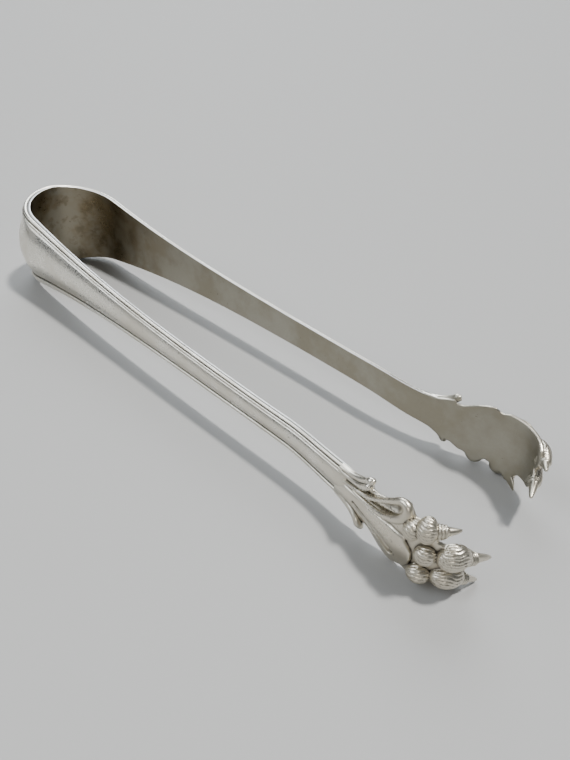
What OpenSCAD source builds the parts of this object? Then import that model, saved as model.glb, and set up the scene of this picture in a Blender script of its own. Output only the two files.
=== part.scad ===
// Bow-spring ice tongs: one U-shaped bow, two tapering arms with a double thread border,
// and two cast claw ends with three toes each. The tongs lie on their side:
// +X runs from the bow to the claws, +Y is the left arm, and the table is Z = 0.

/* [Bow] */
// Radius of the inside of the bow
bow_r = 13; // [11:0.5:15]
// Width of the strip at the crown of the bow
bow_w = 26.5; // [22:0.5:30]
// Thickness of the strip at the crown
bow_t = 2.1; // [1.6:0.1:2.6]
// Half angle of the stretch of the bow that flexes
flex_angle = 50; // [40:1:60]

/* [Arms] */
// Length of each arm, from the bow to where it starts to flare
arm_l = 104; // [90:1:125]
// Width that the arm tapers towards
waist_w = 7; // [6:0.2:9]
// Distance along the strip over which the taper happens
taper_l = 43; // [35:1:55]
// Outward lean of each arm where it leaves the bow
splay = 2.35; // [1.5:0.05:3.5]
// Thickness of the arm at its edges
edge_t = 1.2; // [0.9:0.1:1.6]
// Extra thickness of the arm along its middle
crown_t = 0.6; // [0.4:0.1:1.0]
// Extra outward bulge of the bow, over and above that of the arms
bow_crown = 2; // [1:0.1:2.5]
// Depth of the shell that the inside of the bow is pressed into
bow_hollow = 2; // [0.5:0.1:2]

/* [Claws] */
// Length of the outward flare that carries the claw
flare_l = 31; // [28:1:36]
// Outward turn over that flare
flare_angle = 14.2; // [11:0.2:17]
// Radius that the toes curl in on
curl_r = 11; // [9:0.5:13]
// How far the toes curl in
curl_angle = 75; // [60:1:80]
// Reach of the palm to each side of its centre line
palm_half = 8.9; // [8:0.1:9.4]
// Thickness of the palm
palm_t = 1.4; // [1.2:0.1:1.8]
// How far the claws are set below the middle of the arms
claw_drop = 0.8; // [0:0.1:1]

/* [Hidden] */

silver = [0.76, 0.75, 0.72];
foot_cut = 0.3;                 // depth of the flat that the bow stands on
taper_power = 1.39;             // how suddenly the taper sets in
nail_reach = 4.6;               // straight stretch past the curl, for the nails
neck_l = 16;                    // length of the casting ahead of the palm's centre

// The inside of one strip, seen from above, is a chain of arcs: bow, arm, flare, curl, nails.
// Each has a length and a turn, positive to the left.
chain_l = [bow_r * (90 - splay) * PI / 180, arm_l, flare_l, curl_r * curl_angle * PI / 180, nail_reach];
chain_turn = [splay - 90, -splay, flare_angle, -curl_angle, 0];
function start_s(k) = k == 0 ? 0 : start_s(k - 1) + chain_l[k - 1];
function start_h(k) = k == 0 ? 90 : start_h(k - 1) + chain_turn[k - 1];
function arc(p, h, l, turn, t) = turn == 0
    ? p + t * l * [cos(h), sin(h)]
    : p + l * 180 / (turn * PI) * [sin(h + turn * t) - sin(h), cos(h) - cos(h + turn * t)];
function start_p(k) = k == 0 ? [0, 0] : arc(start_p(k - 1), start_h(k - 1), chain_l[k - 1], chain_turn[k - 1], 1);
knot_s = [for (k = [0:4]) start_s(k)];
knot_h = [for (k = [0:4]) start_h(k)];
knot_p = [for (k = [0:4]) start_p(k)];
function link(s) = s < knot_s[1] ? 0 : s < knot_s[2] ? 1 : s < knot_s[3] ? 2 : s < knot_s[4] ? 3 : 4;
function part_way(s) = (s - knot_s[link(s)]) / chain_l[link(s)];
function heading(s) = knot_h[link(s)] + chain_turn[link(s)] * part_way(s);
function inside(s) = arc(knot_p[link(s)], knot_h[link(s)], chain_l[link(s)], chain_turn[link(s)], part_way(s));

palm_s = knot_s[3];             // the palm's centre, where the curl starts
neck_s = palm_s - neck_l;       // where the casting meets the arm
flex_s = bow_r * flex_angle * PI / 180;

// Half width, edge thickness, bead size, bulge and hollow of the strip, a distance s from the crown.
function ease(t) = t <= 0 ? 0 : t >= 1 ? 1 : (1 - cos(180 * t)) / 2;
flare_w = 1.35;
arm_hollow = 0.06;
function half_w(s) = waist_w / 2 + (bow_w - waist_w) / 2 * exp(-pow(s / taper_l, taper_power))
    + flare_w * pow(max(0, s - knot_s[2] + 8) / (flare_l + 8), 2);
function edge(s) = edge_t + (bow_t - edge_t) * exp(-pow(s / 30, 2));
function bead(s) = 0.6 + 0.062 * half_w(s);
function bulge(s) = crown_t + bow_crown * exp(-pow(s / 48, 2));
function hollow(s) = arm_hollow + bow_hollow * exp(-pow(s / 40, 2));
function drop(s) = claw_drop * ease((s - knot_s[2]) / (neck_s - knot_s[2]));

// One half of the strip's section as [outward, across] pairs: rim, two beads, groove, convex face.
face_steps = 4;
function round_bead(n, v, r) = [for (a = [55, 0, -55]) [n + r * cos(a), v + r * sin(a)]];
function half_section(w, t, b, rise) = let (face_w = w - 2.05 * b, face_n = t + 0.2 * b) concat(
    [[0, w - 0.2], [0.2, w], [t - 0.3 * b, w - 0.06 * b]],
    round_bead(t - 0.12 * b, w - 0.52 * b, 0.42 * b),
    round_bead(t + 0.06 * b, w - 1.36 * b, 0.42 * b),
    [[t - 0.12 * b, w - 1.88 * b]],
    [for (i = [0:face_steps - 1]) let (a = 1 - i / face_steps) [face_n + rise * (1 - a * a), face_w * a]]);
hollow_steps = 6;
function section(w, t, b, rise, dish) = let (half = half_section(w, t, b, rise), n = len(half)) concat(
    half, [[t + 0.2 * b + rise, 0]], [for (i = [n - 1:-1:0]) [half[i][0], -half[i][1]]],
    [for (i = [1:hollow_steps - 1]) let (a = 2 * i / hollow_steps - 1) [dish * (1 - a * a), a * (w - 0.2)]]);

// A station's ring in space. side is 1 on the left and -1 on the right; s < 0 crosses the crown.
function on_strip(s, side, out, across) = let (
    a = abs(s), p = inside(a), h = heading(a), far = s < 0 ? -1 : 1)
    [p[0] - sin(h) * out, side * far * (p[1] + cos(h) * out), across - drop(a)];
function ring(s, side) = let (a = abs(s))
    [for (q = section(half_w(a), edge(a), bead(a), bulge(a), hollow(a))) on_strip(s, side, q[0], q[1])];

// Skin through equal rings, closed by a flat cap at each end.
module skin(rings, flip) {
    n = len(rings[0]);
    last = len(rings) - 1;
    walls = [for (i = [0:last - 1]) for (j = [0:n - 1])
        let (a = i * n + j, b = i * n + (j + 1) % n)
        each [[a, b, b + n], [a, b + n, a + n]]];
    caps = [[for (j = [n - 1:-1:0]) j], [for (j = [0:n - 1]) last * n + j]];
    faces = concat(walls, caps);
    polyhedron([for (r = rings) each r], flip ? [for (f = faces) [for (k = [len(f) - 1:-1:0]) f[k]]] : faces);
}

// Everything is drawn about the tongs' own middle plane, then laid down with the claws' edge on the table.
claw_foot_x = knot_p[3][0] + 6;
lie_angle = asin((bow_w / 2 - foot_cut - palm_half - claw_drop) / claw_foot_x);
tip_x = inside(palm_s + 20)[0] + 1.85;
crown_out = bow_t + crown_t + bow_crown + 0.3;
middle_x = (tip_x - crown_out) / 2 * cos(lie_angle);
module lay_down() {
    translate([-middle_x, 0, bow_w / 2 - foot_cut]) rotate([0, lie_angle, 0]) children();
}

module strip(from_s, to_s, step, side) {
    count = ceil((to_s - from_s) / step);
    skin([for (i = [0:count]) ring(from_s + (to_s - from_s) * i / count, side)], side < 0);
}

module bow() {
    color(silver) intersection() {
        lay_down() strip(-flex_s, flex_s, 1.3, 1);
        translate([-arm_l, -bow_w, 0]) cube([arm_l, 2 * bow_w, 2 * bow_w]);
    }
}

module arm(side) {
    color(silver) lay_down() {
        strip(flex_s, neck_s, 4.5, side);
    }
}

// ---- Claw: drawn on the right arm, with v upwards and n outwards from the palm's inner face ----

// Moves to a place on the palm, a distance s past its centre, with x along and y inwards.
module on_palm(s, v, n) {
    p = inside(palm_s + s);
    h = heading(palm_s + s);
    translate([p[0] - sin(h) * n, -p[1] - cos(h) * n, v]) rotate([0, 0, -h]) children();
}

// An egg with half sizes along, across and outward, turned in the palm's surface.
module egg(place, size, turn) {
    on_palm(place[0], place[1], place[2]) rotate([0, -turn, 0]) scale([size[0], size[2], size[1]]) sphere(1, $fn = 18);
}

// A round bar through a list of [s, v, n, radius] places.
module bar(places) {
    for (i = [0:len(places) - 2]) hull() {
        for (q = [places[i], places[i + 1]]) on_palm(q[0], q[1], q[2]) sphere(q[3], $fn = 8);
    }
}

// Smooth value between [place, value] pairs.
function between(s, pairs) = s <= pairs[0][0] ? pairs[0][1]
    : s >= pairs[len(pairs) - 1][0] ? pairs[len(pairs) - 1][1]
    : let (k = [for (i = [0:len(pairs) - 2]) if (s >= pairs[i][0] && s < pairs[i + 1][0]) i][0],
        t = (s - pairs[k][0]) / (pairs[k + 1][0] - pairs[k][0]))
      pairs[k][1] + (pairs[k + 1][1] - pairs[k][1]) * ease(t);

neck_w = half_w(neck_s);
short_edge = [[-neck_l, neck_w], [-7.4, 4.2], [-5.5, 4.4], [1.3, palm_half - 0.2], [3.1, palm_half - 1.5],
    [6.5, palm_half - 2.1], [9, palm_half - 2.8], [12, 4.4], [15.5, 2.6]];
long_edge = [[-neck_l, neck_w], [-7.4, 4.4], [-5.5, 4.7], [1.3, palm_half - 0.1], [3, palm_half - 0.9],
    [6, palm_half - 0.1], [11, palm_half - 0.2], [13, palm_half - 0.5], [15.5, 6.5]];
palm_dish = 1;
toe_hollow = 1.3;
palm_steps = 5;
function palm_ring(s) = let (
    up = between(s, short_edge), down = between(s, long_edge),
    neck = 1 - ease((s + neck_l) / 10), thick = palm_t + neck * (edge_t + crown_t - palm_t),
    sunk = toe_hollow * ease((s - 2) / 10), dish = palm_dish * ease((s + 14) / 12),
    across = [for (i = [0:palm_steps]) 1 - 2 * i / palm_steps])
    concat(
        [for (a = across) [sunk - dish * a * a, a > 0 ? a * up : a * down]],
        [for (i = [palm_steps:-1:0]) let (a = across[i])
            [sunk + thick - (dish + neck * crown_t) * a * a, (a > 0 ? a * up : a * down) * 0.99]]);
function palm_point(s, q) = let (p = inside(palm_s + s), h = heading(palm_s + s))
    [p[0] - sin(h) * q[0], -p[1] - cos(h) * q[0], q[1]];

module palm() {
    stations = [for (s = [-neck_l:1.5:15.5]) s];
    skin([for (s = stations) [for (q = palm_ring(s)) palm_point(s, q)]], false);
}

// Raised teardrop rim on the short side: pointed at the neck and round beside the palm's centre.
module loop_rim() {
    bar([[-13, 1.2, 1.4, 0.5], [-7.2, 2.8, 1.5, 0.6], [-4.4, 4.3, 1.2, 0.65], [0.3, palm_half - 0.9, 0.5, 0.7],
        [1.5, palm_half - 1.1, 0.7, 0.8], [1.7, 6.3, 1.1, 0.85], [0.6, 4.3, 1.6, 0.8], [-4, 1.8, 1.7, 0.65],
        [-13, 1.2, 1.4, 0.5]]);
}

// Smooth shield on the long side: pointed at the neck and round in front, with a slot down it.
shield_l = 4.9;
module shield() {
    difference() {
        hull() {
            on_palm(-13, 0.3, 0.9) sphere(0.7, $fn = 12);
            on_palm(-6, -2, 0.9) scale([1, 0.45, 1]) sphere(2, $fn = 16);
            on_palm(shield_l - 4, -3.2, 0.7) scale([1, 0.3, 1]) sphere(4, $fn = 24);
            on_palm(-1, 0.4, 1.1) sphere(0.7, $fn = 12);
        }
        bar([[-6, -2.7, 2.3, 0.35], [-2.7, -3.4, 2.1, 0.5], [0.8, -4.6, 1.8, 0.65]]);
    }
}

// The thread border curls over at each edge of the neck.
module scroll(way) {
    bar([[-neck_l + 1, way * (neck_w - 0.9), edge_t - 0.3, 0.8], [-10.5, way * (neck_w + 0.2), edge_t + 0.1, 1],
        [-7.5, way * (neck_w + 1.9), edge_t, 1.1]]);
}

// A toe: two knuckles, then a collared nail.
module toe(first, first_size, second, second_size, turn, nail_root, nail_tip) {
    egg(first, first_size, 0);
    egg(second, second_size, turn);
    bar([concat(second, 1.5), concat(nail_root, 1.35)]);
    bar([concat(nail_root, 1.1), concat(nail_tip, 0.35)]);
}

module claw() {
    translate([0, 0, -claw_drop]) {
        palm();
        shield();
        loop_rim();
        for (way = [1, -1]) scroll(way);
        toe([3.8, 4.7, 1.8], [1.6, 2, 1.8], [5.8, 6.3, 1.6], [1.9, 2.5, 2.3], 8, [8.6, 6.6, 1.2], [12.4, 7, 0.5]);
        toe([6.8, 0.1, 2.3], [2.2, 2.4, 2.4], [11.7, 1, 2.3], [3.2, 3.1, 2.95], -4, [15.3, 0, 2.2], [20.2, -1, 1.6]);
        toe([6.9, -5.5, 2], [2.3, 2.1, 2.1], [11.9, -5, 2.2], [3.2, 2.6, 2.6], -6, [15.4, -6.2, 2.1], [19, -7.6, 1.9]);
    }
}

module claw_right() {
    color(silver) lay_down() claw();
}

// The left claw is the same casting, turned half round about the long axis.
module claw_left() {
    color(silver) lay_down() translate([0, 0, -2 * claw_drop]) rotate([180, 0, 0]) claw();
}

module arm_left() {
    arm(1);
}

module arm_right() {
    arm(-1);
}

bow();
arm_left();
arm_right();
claw_left();
claw_right();
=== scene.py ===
"""Bow-spring ice tongs: the looks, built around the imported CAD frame. Shapes are in millimetres."""

import math

import bpy
import numpy as np
from mathutils import Matrix, Vector


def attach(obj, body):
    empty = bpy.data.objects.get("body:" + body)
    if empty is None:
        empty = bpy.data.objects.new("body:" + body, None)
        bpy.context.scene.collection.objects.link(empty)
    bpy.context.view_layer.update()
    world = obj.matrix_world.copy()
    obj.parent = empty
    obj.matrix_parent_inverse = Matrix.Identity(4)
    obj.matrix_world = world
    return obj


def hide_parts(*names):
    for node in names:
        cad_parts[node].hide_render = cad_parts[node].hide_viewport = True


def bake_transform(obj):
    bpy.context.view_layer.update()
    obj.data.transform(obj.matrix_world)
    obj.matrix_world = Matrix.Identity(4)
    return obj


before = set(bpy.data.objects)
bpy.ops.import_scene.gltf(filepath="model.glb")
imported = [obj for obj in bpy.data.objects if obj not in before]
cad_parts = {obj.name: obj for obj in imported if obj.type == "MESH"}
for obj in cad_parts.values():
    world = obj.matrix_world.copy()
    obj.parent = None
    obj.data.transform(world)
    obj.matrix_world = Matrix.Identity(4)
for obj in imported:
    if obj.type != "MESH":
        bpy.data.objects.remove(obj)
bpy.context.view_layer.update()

MM = 0.001

# ---- The strip's driving dimensions, as in the CAD, in millimetres and degrees ----
BOW_R, BOW_W, BOW_T, FLEX = 13.0, 26.5, 2.1, 50.0
ARM_L, WAIST_W, TAPER_L, TAPER_POWER, SPLAY = 104.0, 7.0, 43.0, 1.39, 2.35
EDGE_T, CROWN_T, BOW_CROWN, BOW_HOLLOW = 1.2, 0.6, 2.0, 2.0
FLARE_L, FLARE, FLARE_W, FLARE_LEAD = 31.0, 14.2, 1.35, 8
CURL_R, CURL, NAIL_REACH = 11.0, 75.0, 4.6
PALM_LOW, CLAW_DROP, FOOT_CUT, NECK_L = 8.9, 0.8, 0.3, 16.0

LINK_L = [BOW_R * math.radians(90 - SPLAY), ARM_L, FLARE_L, CURL_R * math.radians(CURL), NAIL_REACH]
LINK_TURN = np.radians([SPLAY - 90, -SPLAY, FLARE, -CURL, 0])


def arc(x, y, heading, length, turn, part):
    """The place part of the way along an arc that starts at x, y."""
    if turn == 0:
        return x + length * part * np.cos(heading), y + length * part * np.sin(heading)
    radius = length / turn
    end = heading + turn * part
    return x + radius * (np.sin(end) - np.sin(heading)), y + radius * (np.cos(heading) - np.cos(end))


KNOTS = [(0.0, 0.0, 0.0, math.pi / 2)]
for link_l, link_turn in zip(LINK_L, LINK_TURN):
    s0, x0, y0, h0 = KNOTS[-1]
    x1, y1 = arc(x0, y0, h0, link_l, link_turn, 1.0)
    KNOTS.append((s0 + link_l, x1, y1, h0 + link_turn))

ARM_END = KNOTS[2][0]
PALM_S = KNOTS[3][0]
NECK_S = PALM_S - NECK_L
FLEX_S = BOW_R * math.radians(FLEX)


def path(s):
    """x, y and heading of the strip's inner face, a distance s from the crown."""
    s = np.asarray(s, float)
    x, y, h = np.zeros_like(s), np.zeros_like(s), np.zeros_like(s)
    for k, (s0, x0, y0, h0) in enumerate(KNOTS[:-1]):
        last = k == len(LINK_L) - 1
        here = (s >= s0) if last else (s >= s0) & (s < s0 + LINK_L[k])
        part = (s[here] - s0) / LINK_L[k]
        x[here], y[here] = arc(x0, y0, h0, LINK_L[k], LINK_TURN[k], part)
        h[here] = h0 + LINK_TURN[k] * part
    return x, y, h


def ease(t):
    """0 before t = 0, 1 after t = 1, and a smooth rise between."""
    return (1 - np.cos(np.pi * np.clip(t, 0, 1))) / 2


def half_width(s):
    """Half the strip's width: wide at the bow, slim at the waist, flared again towards the claw."""
    flare = np.maximum(0, s - ARM_END + FLARE_LEAD) / (FLARE_L + FLARE_LEAD)
    taper = np.exp(-((s / TAPER_L) ** TAPER_POWER))
    return WAIST_W / 2 + (BOW_W - WAIST_W) / 2 * taper + FLARE_W * flare**2


def edge_thickness(s):
    """Thickness along the edges: thicker at the bow."""
    return EDGE_T + (BOW_T - EDGE_T) * np.exp(-((s / 30) ** 2))


def drop(s):
    """How far the strip's middle has sunk on its way to the claw."""
    return CLAW_DROP * ease((s - ARM_END) / (NECK_S - ARM_END))


# The tongs' own middle plane is laid down until the claws' lower edge meets the table.
CLAW_FOOT_X = KNOTS[3][1] + 6
LIE = math.asin((BOW_W / 2 - FOOT_CUT - PALM_LOW - CLAW_DROP) / CLAW_FOOT_X)
TIP_X = float(path([PALM_S + 20])[0][0]) + 1.85
CROWN_OUT = BOW_T + CROWN_T + BOW_CROWN + 0.3
MIDDLE_X = (TIP_X - CROWN_OUT) / 2 * math.cos(LIE)


def lay_down(points):
    """Points of the tongs' own plane, tilted and moved into the CAD frame."""
    x, y, z = points[..., 0], points[..., 1], points[..., 2]
    c, s = math.cos(LIE), math.sin(LIE)
    return np.stack([x * c + z * s - MIDDLE_X, y, z * c - x * s + BOW_W / 2 - FOOT_CUT], -1)


# ---- Meshes ----
def mesh_object(name, points, faces, layers, normals=None):
    """A smooth mesh from millimetre points, with one float layer for each named list of point values."""
    mesh = bpy.data.meshes.new(name)
    mesh.from_pydata((points * MM).tolist(), [], faces)
    for layer_name, values in layers.items():
        attribute = mesh.attributes.new(layer_name, "FLOAT", "POINT")
        attribute.data.foreach_set("value", np.asarray(values, np.float32))
    mesh.polygons.foreach_set("use_smooth", np.ones(len(mesh.polygons), bool))
    mesh.update()
    if normals is not None:
        mesh.normals_split_custom_set_from_vertices(normals.tolist())
    piece = bpy.data.objects.new(name, mesh)
    bpy.context.scene.collection.objects.link(piece)
    return piece


def bend(centre_n, centre_v, radius, first, last, count):
    """Points round an arc of the section, from angle first to last in degrees: outward and across."""
    a = np.radians(np.linspace(first, last, count))
    return centre_n + radius * np.cos(a), centre_v + radius * np.sin(a)


def crown(s):
    """How far the middle of the outer face stands out past its edges."""
    return CROWN_T + BOW_CROWN * np.exp(-((s / 48) ** 2))


def hollow(s):
    """How deep the inner face is dished: the bow is pressed like a shell, the arms are flat inside."""
    return BOW_HOLLOW * np.exp(-((s / 40) ** 2))


BEAD_R = 0.42
FACE_EDGE = 2.05
FACE_LIFT = 0.18


def border_unit(w):
    """The border's scale: rim, beads and grooves grow with the strip's half width."""
    return 0.6 + 0.062 * w


def half_section(s):
    """Half of the section at each s: inner corner, rim, two beads and the convex face.

    It gives outward and across places, how much painted shade and tarnish each point takes in the grooves,
    and which points are inner or rim."""
    w, t = half_width(s)[:, None], edge_thickness(s)[:, None]
    b = border_unit(w)
    corner = bend(0 * w + 0.2, w - 0.22, 0.2, 180, 90, 5)
    rim_n = [t - 0.9 * b, t - 0.78 * b]
    rim_v = [w - 0.03 * b, w - 0.26 * b]
    bead_1 = bend(t - 0.36 * b, w - 0.47 * b, BEAD_R * b, 148, -36, 11)
    between_n, between_v = t - 0.06 * b, w - 0.8 * b
    bead_2 = bend(t + 0.02 * b, w - 1.24 * b, BEAD_R * b, 68, -62, 10)
    groove_n = [t - 0.16 * b, t - 0.16 * b]
    groove_v = [w - 1.74 * b, w - 1.86 * b]
    face_w = w - FACE_EDGE * b
    face_v = face_w * (1 - np.linspace(0, 1, 17))[None, :-1]
    face_n = t + crown(s)[:, None] * (1 - (face_v / face_w) ** 2) + FACE_LIFT * b
    n = np.concatenate([corner[0], *rim_n, bead_1[0], between_n, bead_2[0], *groove_n, face_n], 1)
    v = np.concatenate([corner[1], *rim_v, bead_1[1], between_v, bead_2[1], *groove_v, face_v], 1)
    # Painted shade with some tarnish, by how deep each point lies among the rim, beads and grooves.
    corner_deep, bead_1_deep = [0] * 5 + [0.2, 1], [0.8] + [0] * 9 + [0.8]
    bead_2_deep, face_deep = [1, 0.8] + [0] * 8 + [0.8], [1, 1, 0.2] + [0] * 15
    deep = corner_deep + bead_1_deep + bead_2_deep + face_deep
    inner = [1] * 3 + [0] * (n.shape[1] - 3)
    rim = [0] * 3 + [1] * 4 + [0] * (n.shape[1] - 7)
    return n, v, np.array(deep), np.array(inner), np.array(rim)


def strip_grid(s, side):
    """Points of the strip's sections, with the section's layers. side is 1 on the left."""
    n, v, deep, inner, rim = half_section(s)
    w = v[:, :1]
    mid_n = (edge_thickness(s) + crown(s) + FACE_LIFT * border_unit(half_width(s)))[:, None]
    part = np.linspace(-1, 1, 19)[None, 1:-1]
    inner_v = w * part
    inner_n = hollow(s)[:, None] * (1 - part**2)
    n = np.concatenate([n, mid_n, n[:, ::-1], inner_n], 1)
    v = np.concatenate([v, np.zeros_like(mid_n), -v[:, ::-1], inner_v], 1)
    layers = {
        "deep": np.concatenate([deep, [0], deep[::-1], np.zeros(inner_v.shape[1])]),
        "inner": np.concatenate([inner, [0], inner[::-1], np.ones(inner_v.shape[1])]),
        "rim": np.concatenate([rim, [0], rim[::-1], np.zeros(inner_v.shape[1])]),
    }
    n = n * (1 - 0.8 * ease((s - NECK_S - 1.5) / 5))[:, None]
    x, y, h = (a[:, None] for a in path(s))
    points = np.stack([x - np.sin(h) * n, side * (y + np.cos(h) * n), v - drop(s)[:, None] + 0 * n], -1)
    points = lay_down(points)
    points[..., 2] = np.maximum(points[..., 2], 0)
    return points, layers


def strip(name, start, end, step, side):
    """A stretch of the strip, capped at both ends, with normals worked out as if it went on."""
    count = math.ceil((end - start) / step)
    s = np.linspace(start, end, count + 1)
    gap = s[1] - s[0]
    points, layers = strip_grid(s, side)
    before = strip_grid(np.maximum(s - gap / 2, 0), side)[0]
    after = strip_grid(s + gap / 2, side)[0]
    along = after - before
    across = np.roll(points, -1, 1) - np.roll(points, 1, 1)
    normals = np.cross(along, across) * side
    normals /= np.linalg.norm(normals, axis=-1, keepdims=True)
    rows, ring = points.shape[:2]
    index = np.arange(rows * ring).reshape(rows, ring)
    a, b = index[:-1], index[1:]
    quads = np.stack([a, np.roll(a, -1, 1), np.roll(b, -1, 1), b], -1).reshape(-1, 4)
    caps = [index[0].tolist(), index[-1, ::-1].tolist()]
    faces = quads.tolist() + caps
    if side > 0:
        faces = [f[::-1] for f in faces]
    data = {k: np.tile(v, rows) for k, v in layers.items()}
    data["along"] = np.repeat(s, ring) / PALM_S
    points, normals = points.reshape(-1, 3), normals.reshape(-1, 3)
    return mesh_object(name, points, faces, data, normals)


# ---- Casting of a claw, worked in flat places: along (s), across (v), outward (n) ----
class Clay:
    """Signed distances on a grid of flat places; negative is metal."""

    def __init__(self, low, high, cell):
        self.cell = cell
        self.low = np.array(low, float)
        self.axes = [np.arange(a, b + cell, cell) for a, b in zip(low, high)]
        self.d = np.full([len(a) for a in self.axes], 9.0)

    def block(self, low, high):
        cut = tuple(
            slice(max(0, int((a - axis[0]) / self.cell)), max(0, int((b - axis[0]) / self.cell) + 2))
            for a, b, axis in zip(low, high, self.axes)
        )
        places = np.meshgrid(*[axis[c] for axis, c in zip(self.axes, cut)], indexing="ij", sparse=True)
        return cut, places

    def add(self, low, high, shape, blend):
        cut, places = self.block(low, high)
        self.d[cut] = soft_min(self.d[cut], shape(*places), blend)

    def cut(self, low, high, shape, blend):
        cut, places = self.block(low, high)
        self.d[cut] = -soft_min(-self.d[cut], shape(*places), blend)


def soft_min(a, b, blend):
    """The smaller of two distances, rounded where they are within blend of each other."""
    h = np.maximum(blend - np.abs(a - b), 0) / blend
    return np.minimum(a, b) - h * h * blend / 4


def flowing(points, pieces=4):
    """A smooth curve through rows of values, by Catmull-Rom."""
    p = np.array(points, float)
    p = np.concatenate([2 * p[:1] - p[1:2], p, 2 * p[-1:] - p[-2:-1]])
    rows = []
    for k in range(1, len(p) - 2):
        for t in np.arange(pieces) / pieces:
            a, b, c, d = p[k - 1 : k + 3]
            bend_2 = a - 2.5 * b + 2 * c - d / 2
            bend_3 = 1.5 * (b - c) + (d - a) / 2
            rows.append(b + t * (c - a) / 2 + t**2 * bend_2 + t**3 * bend_3)
    return np.array(rows + [p[-2]])


def tube(clay, points, blend=0.25, flat=1.0, cut=False, pieces=4):
    """A round bar through rows of along, across, outward and radius; flat > 1 squashes it outward."""
    rows = flowing(points, pieces)
    reach = rows[:, 3].max() + 1

    def shape(s, v, n):
        best = 9.0
        for a, b in zip(rows[:-1], rows[1:]):
            run = b[:3] - a[:3]
            gap = [s - a[0], v - a[1], n - a[2]]
            reached = gap[0] * run[0] + gap[1] * run[1] + gap[2] * run[2]
            t = np.clip(reached / (run @ run + 1e-9), 0, 1)
            away = [g - t * r for g, r in zip(gap, run)]
            off = away[0] ** 2 + away[1] ** 2 + (away[2] * flat) ** 2
            best = np.minimum(best, np.sqrt(off) - a[3] - (b[3] - a[3]) * t)
        return best

    work = clay.cut if cut else clay.add
    work(rows[:, :3].min(0) - reach, rows[:, :3].max(0) + reach, shape, blend)


def knuckle(clay, place, size, turn, lines, seed, blend=0.2):
    """An egg with fine curved wrinkles along it."""
    c, w = math.cos(math.radians(turn)), math.sin(math.radians(turn))

    def shape(s, v, n):
        a = (s - place[0]) * c + (v - place[1]) * w
        b = (v - place[1]) * c - (s - place[0]) * w
        o = n - place[2]
        k0 = np.sqrt((a / size[0]) ** 2 + (b / size[1]) ** 2 + (o / size[2]) ** 2) + 1e-6
        k1 = np.sqrt((a / size[0] ** 2) ** 2 + (b / size[1] ** 2) ** 2 + (o / size[2] ** 2) ** 2) + 1e-6
        around = np.arctan2(b, o + 0.5)
        wave = around * lines + 1.1 * np.sin(1.3 * a + seed) + 0.5 * np.sin(3.1 * a + 2 * seed + around)
        wrinkle = WRINKLE * (1 - np.abs(np.sin(wave))) ** 2.5 * np.clip(1.5 - np.abs(a / size[0]), 0, 1)
        return k0 * (k0 - 1) / k1 + wrinkle

    reach = max(size) + 1
    clay.add(np.array(place) - reach, np.array(place) + reach, shape, blend)


def nail(clay, root, tip, radius):
    """A pointed nail with collar rings at its root."""
    root, tip = np.array(root, float), np.array(tip, float)
    run = tip - root
    length = np.linalg.norm(run)

    def shape(s, v, n):
        gap = [s - root[0], v - root[1], n - root[2]]
        u = (gap[0] * run[0] + gap[1] * run[1] + gap[2] * run[2]) / length
        off = np.sqrt(np.maximum(gap[0] ** 2 + gap[1] ** 2 + gap[2] ** 2 - u * u, 0))
        part = np.clip(u / length, 0, 1)
        ring = COLLAR * np.cos(u * 2 * math.pi / COLLAR_PITCH)
        collar = radius * 1.2 - 0.1 * u + ring
        claw_girth = radius * (0.2 + 0.8 * (1 - part) ** 0.6)
        girth = claw_girth + (collar - claw_girth) * ease((COLLAR_L - u) / 0.25)
        return np.maximum(off - girth, np.maximum(-u - 1.2, u - length)) * 0.9

    reach = radius + 1.6
    clay.add(np.minimum(root, tip) - reach, np.maximum(root, tip) + reach, shape, 0.2)


def palm_inside(s, v):
    """The palm's inner face: dished across, and hollowed out behind the toes."""
    return -DISH * ease((s + 14) / 12) * (v / 8) ** 2 + TOE_HOLLOW * ease((s - 2) / 10)


# Along, and how far the palm's upper and lower edges stand from its middle line.
EDGES = [
    (-11.5, 4.4, 4.4), (-9, 5.3, 5.5), (-7.9, 5.8, 6.0), (-7.4, 5.6, 5.9), (-7.0, 4.3, 5.3),
    (-5.5, 4.3, 5.5), (-3.8, 5.0, 6.6), (-2.5, 5.9, 7.5), (-1.2, 6.8, 8.2), (0.2, 7.9, 8.7),
    (1.3, 7.9, 8.8), (2.3, 6.9, 8.2), (3.1, 6.1, 8.0), (4.6, 6.3, 8.7), (6.5, 6.5, 8.8),
    (8.8, 6.1, 8.8), (11, 4.9, 8.7), (13, 3.9, 8.4), (15, 3.1, 7.5), (16.5, 2, 5),
]
# Across, and where the palm ends along.
FRONT = [
    (-9, 13), (-7.6, 14.6), (-6, 15.4), (-4, 15.2), (-2.4, 14.2), (-2.0, 13.6), (-1.6, 14.2), (0, 15.4),
    (1.8, 15.0), (3.0, 13.4), (3.5, 11.2), (4.2, 9.8), (6, 9.6), (7.5, 8.8), (9, 8),
]
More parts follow.
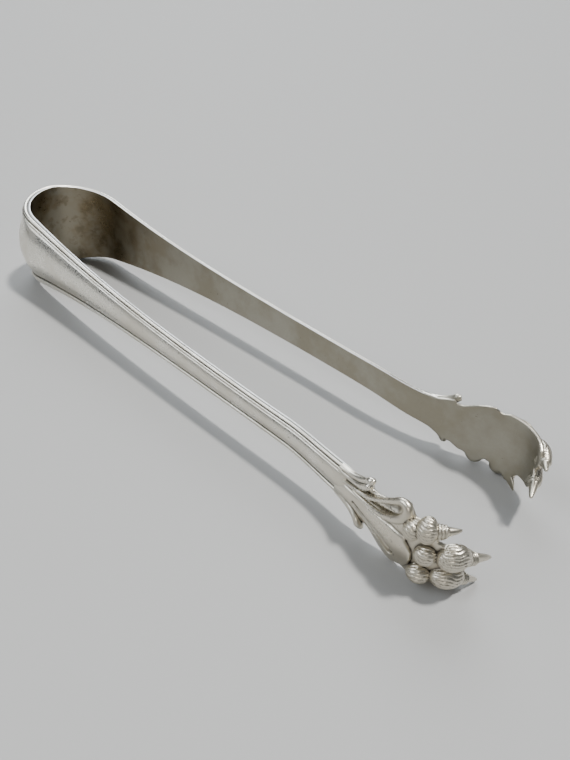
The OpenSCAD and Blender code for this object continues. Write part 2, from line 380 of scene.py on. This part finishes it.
# Bars by along, across, outward and radius.
SCROLL_RIM = [
    (-15.5, 3.5, 1.1, 0.42), (-12.4, 3.9, 1.1, 0.5), (-10, 4.7, 1.1, 0.62),
    (-8.3, 5.6, 1.1, 0.78), (-7.6, 6.2, 1.0, 0.85), (-7.1, 6.5, 0.9, 0.6),
]
SCROLL_FOLD = [
    (-15.5, 2.7, 1.2, 0.4), (-12.4, 3.0, 1.4, 0.45), (-10, 3.6, 1.6, 0.55),
    (-8.2, 4.5, 1.8, 0.7), (-7.3, 5.4, 1.8, 0.7), (-6.9, 5.7, 1.5, 0.5),
]
LOOP_BOWL = [(-9, 1.9, 1.8, 0.2), (-5.4, 3.2, 1.6, 0.7), (-2.2, 5.0, 1.4, 1.3), (-0.9, 5.7, 1.3, 1.5)]
LOOP_RIM = [
    (-13.5, 1.2, 1.5, 0.35), (-10, 2.1, 1.7, 0.46), (-7.2, 2.8, 1.6, 0.52), (-4.4, 4.3, 1.3, 0.58),
    (-1.6, 6.5, 0.9, 0.7), (0.0, 7.75, 0.5, 0.82), (1.3, 7.6, 0.6, 0.92), (1.8, 6.4, 0.95, 0.96),
    (1.2, 5.0, 1.4, 0.92), (-0.2, 3.7, 1.7, 0.82), (-2.2, 2.5, 1.8, 0.7), (-4.4, 1.8, 1.8, 0.58),
    (-7.2, 1.3, 1.7, 0.46), (-10.5, 1.0, 1.6, 0.35),
]
SLOT_BARS = [
    (-10, -1.7, 1.8, 0.35), (-6, -2.7, 1.8, 0.6), (-2.7, -3.4, 1.7, 0.75), (0.8, -4.5, 1.45, 0.85),
]
# The tongue's upper edge by along and across, and its round end by across and along.
TONGUE_TOP = [(-16, 0.5), (-11, 0.4), (-6.5, 0.4), (-2.8, 0.7), (-0.3, 1.2), (2.6, 1.0), (5, 0.6)]
TONGUE_END = [
    (-9, 1.2), (-7.6, 3.0), (-6.4, 4.1), (-5, 4.7), (-3.4, 4.9),
    (-1.6, 4.6), (-0.6, 3.8), (0.2, 3.0), (1.2, 2.7),
]
# Each toe: the near knuckle's place and size, the far one's place, size and turn, the nail's root and radius.
TOES = [
    ((3.5, 4.5, 1.8), (1.5, 2.3, 1.7), (5.8, 6.0, 1.6), (1.95, 2.8, 2.3), 6, (7.7, 6.3, 1.3), 1.1),
    ((6.9, 0.1, 2.1), (2.0, 2.3, 1.8), (11.5, 1.0, 2.3), (2.9, 3.0, 2.35), -4, (14.2, 0.3, 2.3), 1.15),
    ((6.9, -5.5, 1.9), (2.2, 2.0, 1.9), (11.7, -4.7, 2.2), (3.0, 2.5, 2.3), -6, (14.4, -5.7, 2.2), 1.05),
]
NEAR_LINES, FAR_LINES = 8, 11
TIPS_RIGHT = [(12.0, 6.6, 0.6), (20.2, -2.0, 1.7), (19.0, -8.2, 2.0)]
TIPS_LEFT = [(12.2, 7.4, 0.0), (20.0, 0.4, 0.9), (18.8, -6.6, 1.6)]


def palm_edges(s):
    """The palm's upper and lower edges at s, starting from the strip's own width."""
    neck_w = float(half_width(np.array([NECK_S]))[0])
    along, upper, lower = zip((-NECK_L, neck_w, neck_w), *EDGES)
    return np.interp(s, along, upper), np.interp(s, along, lower)


def palm(clay, web, gap):
    """The dished plate that everything else stands on."""

    def shape(s, v, n):
        top, low = palm_edges(s)
        top = top + web * ease((s + 8) / 0.8) * ease(-(s + 1.2) / 3)
        front = np.interp(v, *zip(*FRONT)) - gap * np.exp(-(((v - 3.4) / 1.1) ** 2))
        thick = 1.15 - 0.25 * ease((s + 14) / 12) + 0.2 * ease((s - 2) / 5)
        slab = np.maximum(palm_inside(s, v) - n, n - palm_inside(s, v) - thick)
        outline = np.maximum(np.maximum((v - top) * 0.85, (-low - v) * 0.85), (s - front) * 0.9)
        return -soft_min(-slab, -outline, 0.5)

    clay.add((-16, -10, -4), (17, 10, 5), shape, 0.2)


def scrolls(clay):
    """Two bars along each side of the neck, rolled at the ends."""
    for way in (1, -1):
        for bars in (SCROLL_RIM, SCROLL_FOLD):
            tube(clay, [(s, way * v, n, r) for s, v, n, r in bars], 0.12)


def loop(clay):
    """The teardrop rim round a shallow bowl."""
    tube(clay, LOOP_BOWL, 0.3, cut=True)
    tube(clay, LOOP_RIM, 0.12)


def tongue(clay):
    """The raised smooth tongue with a long slot in it."""

    def shape(s, v, n):
        top, bottom = np.interp(s, *zip(*TONGUE_TOP)), 0.4 - palm_edges(s)[1]
        end = np.interp(v, *zip(*TONGUE_END))
        outline = np.maximum(np.maximum(v - top, bottom - v), s - end)
        rise = TONGUE_RISE - 0.5 * ((2 * v - top - bottom) / (top - bottom)) ** 2
        slab = n - palm_inside(s, v) - 1.1 - rise
        return -soft_min(-slab, -outline * 0.9, 0.7)

    clay.add((-15.5, -9.4, -1), (6, 1.6, 4), shape, 0.08)
    tube(clay, SLOT_BARS, 0.1, cut=True, flat=0.75)


def toes(clay, tips):
    """Three toes, each of two wrinkled knuckles and a nail that ends at its tip."""
    for k, (near, near_size, far, far_size, turn, root, radius) in enumerate(TOES):
        knuckle(clay, near, near_size, 0, NEAR_LINES, k * 1.7)
        knuckle(clay, far, far_size, turn, FAR_LINES, k * 2.3 + 1)
        nail(clay, root, tips[k], radius)


def hollow_out(clay):
    """Cuts away what has come through the palm's inner face."""

    def under(s, v, n):
        return n - palm_inside(s, v) - 0.05

    clay.cut((-16, -10, -4), (13.4, 10, 4), under, 0.06)


def cast_claw(tips, web, gap):
    """The casting: dished palm, scroll ends, teardrop loop, slotted tongue, three toes with nails.

    web is how much wider the palm is left between the scroll and the loop. gap is how deep the palm's
    front edge is cut between the short toe and the long one."""
    clay = Clay((-15.5, -9.4, -3.4), (21.4, 9.6, 6.4), CLAY_CELL)
    palm(clay, web, gap)
    scrolls(clay)
    loop(clay)
    tongue(clay)
    toes(clay, tips)
    hollow_out(clay)
    return clay


def surface_net(clay):
    """Quads through the cells where the distances change sign, one point a cell."""
    d = clay.d
    shape = np.array(d.shape) - 1
    total = np.zeros((*shape, 3))
    count = np.zeros(shape)
    signs = d < 0
    for axis in range(3):
        others = [a for a in range(3) if a != axis]
        for i in (0, 1):
            for j in (0, 1):
                first = [slice(0, n) for n in shape]
                first[others[0]] = slice(i, shape[others[0]] + i)
                first[others[1]] = slice(j, shape[others[1]] + j)
                second = list(first)
                second[axis] = slice(1, shape[axis] + 1)
                a, b = d[tuple(first)], d[tuple(second)]
                crossing = signs[tuple(first)] != signs[tuple(second)]
                part = np.where(crossing, a / np.where(crossing, a - b, 1), 0)
                total[..., axis] += np.where(crossing, part, 0)
                total[..., others[0]] += crossing * i
                total[..., others[1]] += crossing * j
                count += crossing
    cells = np.argwhere(count > 0)
    where = tuple(cells.T)
    number = np.full(shape, -1)
    number[where] = np.arange(len(cells))
    places = (cells + total[where] / count[where][:, None]) * clay.cell + clay.low
    quads = []
    for axis in range(3):
        b, c = (axis + 1) % 3, (axis + 2) % 3
        first = [slice(0, n) for n in d.shape]
        second = list(first)
        first[axis], second[axis] = slice(0, -1), slice(1, None)
        a_in, b_in = signs[tuple(first)], signs[tuple(second)]
        edges = np.argwhere(a_in != b_in)
        within = (edges[:, b] > 0) & (edges[:, c] > 0)
        within &= (edges[:, b] < shape[b]) & (edges[:, c] < shape[c])
        edges = edges[within]
        step_b, step_c = np.eye(3, dtype=int)[b], np.eye(3, dtype=int)[c]
        corners = [edges - step_b - step_c, edges - step_c, edges, edges - step_b]
        quad = np.stack([number[tuple(e.T)] for e in corners], 1)
        leaving = a_in[tuple(edges.T)]
        quads.append(np.where(leaving[:, None], quad, quad[:, ::-1]))
    return places, np.concatenate(quads)


def relax(values, quads, rounds):
    """Each point's values moved halfway to the mean of its neighbours', a number of rounds."""
    pairs = np.concatenate([quads[:, [k, (k + 1) % 4]] for k in range(4)])
    for _ in range(rounds):
        total = np.zeros_like(values)
        np.add.at(total, pairs[:, 0], values[pairs[:, 1]])
        np.add.at(total, pairs[:, 1], values[pairs[:, 0]])
        degree = np.bincount(pairs.ravel(), minlength=len(values))[:, None]
        values = values * 0.5 + total / degree * 0.5
    return values


def point_normals(points, quads):
    """The direction out of the surface at each point, from the quads round it."""
    n = np.cross(points[quads[:, 2]] - points[quads[:, 0]], points[quads[:, 3]] - points[quads[:, 1]])
    total = np.zeros_like(points)
    for k in range(4):
        np.add.at(total, quads[:, k], n)
    return total / (np.linalg.norm(total, axis=1, keepdims=True) + 1e-12)


CLAY_CELL = 0.14
WRINKLE = 0.24
COLLAR, COLLAR_PITCH, COLLAR_L = 0.11, 0.62, 1.7
TONGUE_RISE = 0.7
DISH = 1.0
TOE_HOLLOW = 1.3


def claw(name, half_turn, flat, quads, deep, set_on):
    """A casting bent onto its arm. set_on is how far its palm sits along from where it should."""
    x, y, h = path(PALM_S + flat[:, 0] + set_on * (1 - ease((flat[:, 0] - 3) / 10)))
    n = flat[:, 2]
    points = np.stack([x - np.sin(h) * n, -y - np.cos(h) * n, flat[:, 1] - CLAW_DROP], -1)
    if half_turn:
        points = points * [1, -1, -1] + [0, 0, -2 * CLAW_DROP]
    points = lay_down(points)
    inner = ease((-point_normals(flat, quads)[:, 2] - 0.2) / 0.5)
    layers = {"deep": deep, "inner": inner, "rim": np.zeros(len(deep)), "along": 1 + flat[:, 0] / PALM_S}
    return mesh_object(name, points, quads[:, ::-1].tolist(), layers)


# ---- Silver plate ----
def node(tree, kind, **values):
    made = tree.nodes.new(kind)
    for key, value in values.items():
        if key in made.inputs:
            if isinstance(value, bpy.types.NodeSocket):
                tree.links.new(value, made.inputs[key])
            else:
                made.inputs[key].default_value = value
        else:
            setattr(made, key, value)
    return made


def mix(tree, amount, a, b, blend="MIX"):
    made = node(tree, "ShaderNodeMix", data_type="RGBA", blend_type=blend)
    for socket, value in ((0, amount), (6, a), (7, b)):
        if isinstance(value, bpy.types.NodeSocket):
            tree.links.new(value, made.inputs[socket])
        else:
            made.inputs[socket].default_value = value
    return made.outputs[2]


def math_node(tree, operation, *values, clamp=False):
    made = node(tree, "ShaderNodeMath", operation=operation, use_clamp=clamp)
    for k, value in enumerate(values):
        if isinstance(value, bpy.types.NodeSocket):
            tree.links.new(value, made.inputs[k])
        else:
            made.inputs[k].default_value = value
    return made.outputs[0]


def map_range(tree, value, low, high, first=0.0, last=1.0, curve="SMOOTHSTEP"):
    made = node(tree, "ShaderNodeMapRange", Value=value, interpolation_type=curve)
    for name, number in (("From Min", low), ("From Max", high), ("To Min", first), ("To Max", last)):
        made.inputs[name].default_value = number
    return made.outputs[0]


def layer(tree, name):
    return node(tree, "ShaderNodeAttribute", attribute_name=name).outputs["Fac"]


def speckle(tree, scale, detail=4.0, stretch=(1, 1, 1), rough=0.6):
    place = node(tree, "ShaderNodeTexCoord").outputs["Object"]
    stretched = node(tree, "ShaderNodeMapping", Vector=place, Scale=stretch).outputs[0]
    made = node(tree, "ShaderNodeTexNoise", Vector=stretched, Scale=scale, Detail=detail, Roughness=rough)
    return made.outputs["Fac"]


def silver():
    """Worn silver plate: a painted highlight on the rim, warm brown tarnish darkened with painted shade on
    the inner faces, and painted shade with some tarnish in every groove.
    """
    material = bpy.data.materials.new("silver_plate")
    material.use_nodes = True
    tree = material.node_tree
    tree.nodes.clear()
    deep, inner, rim, along = (layer(tree, name) for name in ("deep", "inner", "rim", "along"))
    broad = speckle(tree, 90, 3)
    patch = speckle(tree, 260, 5)
    fine = speckle(tree, 1500, 6, rough=0.7)
    grain = speckle(tree, 2600, 3, stretch=(0.12, 1, 1))

    colour = mix(tree, map_range(tree, broad, 0.35, 0.65), (0.84, 0.81, 0.735, 1), (0.74, 0.70, 0.61, 1))
    colour = mix(tree, map_range(tree, fine, 0.55, 0.75, 0, 0.12), colour, (0.46, 0.41, 0.32, 1))
    # Inner faces: warm brown tarnish, darkened further as painted shade, darkest inside the bow.
    clouds = map_range(tree, broad, 0.36, 0.62)
    bow_tarnish_and_shade = mix(tree, clouds, (0.25, 0.205, 0.13, 1), (0.36, 0.33, 0.26, 1))
    stains = map_range(tree, patch, 0.5, 0.66, 0, 0.5)
    bow_tarnish_and_shade = mix(tree, stains, bow_tarnish_and_shade, (0.15, 0.12, 0.075, 1))
    clouds = map_range(tree, broad, 0.35, 0.65)
    arm_tarnish_and_shade = mix(tree, clouds, (0.33, 0.305, 0.24, 1), (0.42, 0.40, 0.34, 1))
    inside = mix(tree, map_range(tree, along, 0.1, 0.34), bow_tarnish_and_shade, arm_tarnish_and_shade)
    colour = mix(tree, map_range(tree, along, 0.88, 1.0, 0, 0.6), colour, (0.58, 0.525, 0.415, 1))
    colour = mix(tree, inner, colour, inside)
    # Painted highlight: the rim points are mixed towards near-white.
    colour = mix(tree, math_node(tree, "MULTIPLY", rim, 0.7), colour, (0.86, 0.87, 0.88, 1))
    # Painted shade with some tarnish: the deep layer turns grooves, creases and sunk places near-black.
    groove_shade_and_tarnish = math_node(tree, "MULTIPLY", deep, map_range(tree, patch, 0.2, 0.5, 0.8, 1.0), clamp=True)
    colour = mix(tree, groove_shade_and_tarnish, colour, (0.045, 0.038, 0.028, 1))
    pits = map_range(tree, speckle(tree, 700, 2), 0.7, 0.76, 0, 0.5)
    colour = mix(tree, pits, colour, (0.16, 0.14, 0.11, 1))

    rough = map_range(tree, fine, 0.3, 0.7, 0.22, 0.32)
    rough = math_node(tree, "ADD", rough, map_range(tree, broad, 0.35, 0.65, 0.0, 0.08))
    satin = math_node(tree, "MULTIPLY", inner, map_range(tree, along, 0.1, 0.5, 0.02, 0.14))
    rough = math_node(tree, "ADD", rough, satin)
    rough = math_node(tree, "ADD", rough, math_node(tree, "MULTIPLY", rim, 0.06))
    rough = math_node(tree, "ADD", rough, math_node(tree, "MULTIPLY", deep, 0.3), clamp=True)

    half_fine, half_grain = (math_node(tree, "MULTIPLY", value, 0.5) for value in (fine, grain))
    height = math_node(tree, "ADD", half_fine, half_grain)
    bump = node(tree, "ShaderNodeBump", Height=height, Strength=0.08, Distance=0.00004).outputs[0]
    waves = node(tree, "ShaderNodeBump", Height=patch, Strength=0.12, Distance=0.0002, Normal=bump)
    normal = waves.outputs[0]
    shader = node(tree, "ShaderNodeBsdfPrincipled", Metallic=1.0, Roughness=rough, Normal=normal)
    tree.links.new(colour, shader.inputs["Base Color"])
    out = tree.nodes.new("ShaderNodeOutputMaterial")
    tree.links.new(shader.outputs[0], out.inputs[0])
    return material


# ---- Pieces ----
BOW_STEP, ARM_STEP, STRIP_SUNK = 0.45, 0.8, 6


def path_place(s, side):
    """A place on the path in the CAD frame, in metres."""
    x, y, _ = path([s])
    x, y, z = lay_down(np.array([x[0], y[0], 0.0])) * MM
    return (x, y * side, z)


def strip_pieces(arm_name, side):
    """Half of the bow, from the crown to the flex point, and the arm's strip from there on, sunk into the
    casting.
    """
    half = strip("bow_half_" + arm_name, 0, FLEX_S, BOW_STEP, side)
    path_place(0, side)
    path_place(FLEX_S, side)
    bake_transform(half)
    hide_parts("bow")
    limb = strip("arm_strip_" + arm_name, FLEX_S, NECK_S + STRIP_SUNK, ARM_STEP, side)
    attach(limb, "arm_" + arm_name)
    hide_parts("arm_" + arm_name)
    return [half, limb]


def sunk_shade_depth(flat, quads):
    """0 to 1 for how far each point lies sunk below the surface round it, near by and further off: the mask
    for painted shade and tarnish in the hollows.
    """
    outward = point_normals(flat, quads)
    fine_sunk = ((relax(flat, quads, 5) - flat) * outward).sum(1)
    broad_sunk = ((relax(flat, quads, 45) - flat) * outward).sum(1)
    deep = np.clip(fine_sunk / 0.05, 0, 0.8) + np.clip(broad_sunk / 0.28, 0, 0.8)
    return relax(np.clip(deep, 0, 1)[:, None], quads, 1)[:, 0]


def claw_piece(arm_name, half_turn, tips, web, gap, set_on):
    flat, quads = surface_net(cast_claw(tips, web, gap))
    flat = relax(flat, quads, 1)
    cast = claw("claw_casting_" + arm_name, half_turn, flat, quads, sunk_shade_depth(flat, quads), set_on)
    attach(cast, "arm_" + arm_name)
    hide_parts("claw_" + arm_name)
    return cast


# The two castings differ a little: nail tips, web, gap and where the palm sits along.
pieces = strip_pieces("left", 1) + strip_pieces("right", -1)
pieces.append(claw_piece("left", True, TIPS_LEFT, web=1.3, gap=-1.0, set_on=-1.1))
pieces.append(claw_piece("right", False, TIPS_RIGHT, web=0.0, gap=2.6, set_on=0.9))
metal = silver()
for piece in pieces:
    piece.data.materials.append(metal)


# ---- Floor, light and camera ----
FLOOR_HALF = 12


def place_floor():
    """A wide pale floor at the frame's own zero height."""
    corners = [(x * FLOOR_HALF, y * FLOOR_HALF, 0) for x, y in ((-1, -1), (1, -1), (1, 1), (-1, 1))]
    mesh = bpy.data.meshes.new("floor")
    mesh.from_pydata(corners, [], [(0, 1, 2, 3)])
    floor = bpy.data.objects.new("floor", mesh)
    bpy.context.scene.collection.objects.link(floor)
    material = bpy.data.materials.new("floor")
    material.use_nodes = True
    shader = material.node_tree.nodes["Principled BSDF"]
    shader.inputs["Base Color"].default_value = (0.38, 0.38, 0.375, 1)
    shader.inputs["Roughness"].default_value = 0.75
    mesh.materials.append(material)


def place_key():
    """A soft sun, nearly overhead."""
    sun = bpy.data.lights.new("key", "SUN")
    sun.energy, sun.angle, sun.color = 3.9, math.radians(6), (1.0, 0.985, 0.96)
    key = bpy.data.objects.new("key", sun)
    key.rotation_euler = Vector((0.12, 0.22, 0.72)).to_track_quat("Z", "Y").to_euler()
    bpy.context.scene.collection.objects.link(key)


def place_fill():
    """A small warm lamp on the near side."""
    lamp = bpy.data.lights.new("warm_fill", "AREA")
    lamp.shape = "RECTANGLE"
    lamp.size, lamp.size_y, lamp.energy, lamp.color = 0.35, 0.2, 1.5, (1.0, 0.95, 0.86)
    fill = bpy.data.objects.new("warm_fill", lamp)
    fill.location = (0.45, -0.75, 0.55)
    fill.rotation_euler = (-Vector(fill.location)).to_track_quat("-Z", "Y").to_euler()
    bpy.context.scene.collection.objects.link(fill)


# Each window's direction, the cosines at its outer edge and at its core, and its strength.
WINDOWS = [((-0.55, 0.5, 0.62), 0.92, 0.96, 5.5), ((-0.5, -0.56, 0.62), 0.93, 0.97, 5.0)]


def light_world():
    """A dim blue-white sky, lighter upward, with two soft windows for the metal to mirror."""
    world = bpy.data.worlds.new("studio")
    world.use_nodes = True
    sky = world.node_tree
    direction = node(sky, "ShaderNodeTexCoord").outputs["Generated"]
    upward = node(sky, "ShaderNodeSeparateXYZ", Vector=direction).outputs["Z"]
    strength = map_range(sky, upward, 0.0, 0.9, 0.12, 0.2, "LINEAR")
    for toward, edge, core, gain in WINDOWS:
        facing = node(sky, "ShaderNodeVectorMath", operation="DOT_PRODUCT")
        sky.links.new(direction, facing.inputs[0])
        facing.inputs[1].default_value = Vector(toward).normalized()
        pane = map_range(sky, facing.outputs["Value"], edge, core, 0.0, gain)
        strength = math_node(sky, "ADD", strength, pane)
    background = sky.nodes["Background"]
    sky.links.new(strength, background.inputs[1])
    background.inputs[0].default_value = (0.90, 0.95, 1.0, 1)
    bpy.context.scene.world = world


CAMERA_AT = (0.09691, -0.09282, 0.09574)
YAW, PITCH, ROLL = math.radians(128.56), math.radians(36.30), math.radians(6.61)
LENS = 28.28


def place_camera():
    """The camera stands near the claws, looks down towards the bow and leans a little."""
    ahead = Vector((math.cos(PITCH) * math.cos(YAW), math.cos(PITCH) * math.sin(YAW), -math.sin(PITCH)))
    level = Vector((math.sin(YAW), -math.cos(YAW), 0))
    over = level.cross(ahead)
    image_x = math.cos(ROLL) * level + math.sin(ROLL) * over
    image_y = math.cos(ROLL) * over - math.sin(ROLL) * level
    lens = bpy.data.cameras.new("camera")
    lens.lens = LENS
    lens.clip_start = 0.005
    camera = bpy.data.objects.new("camera", lens)
    facing = Matrix((image_x, image_y, -ahead)).transposed().to_4x4()
    camera.matrix_world = Matrix.Translation(CAMERA_AT) @ facing
    bpy.context.scene.collection.objects.link(camera)
    bpy.context.scene.camera = camera


place_floor()
place_key()
place_fill()
light_world()
place_camera()
bpy.context.view_layer.update()
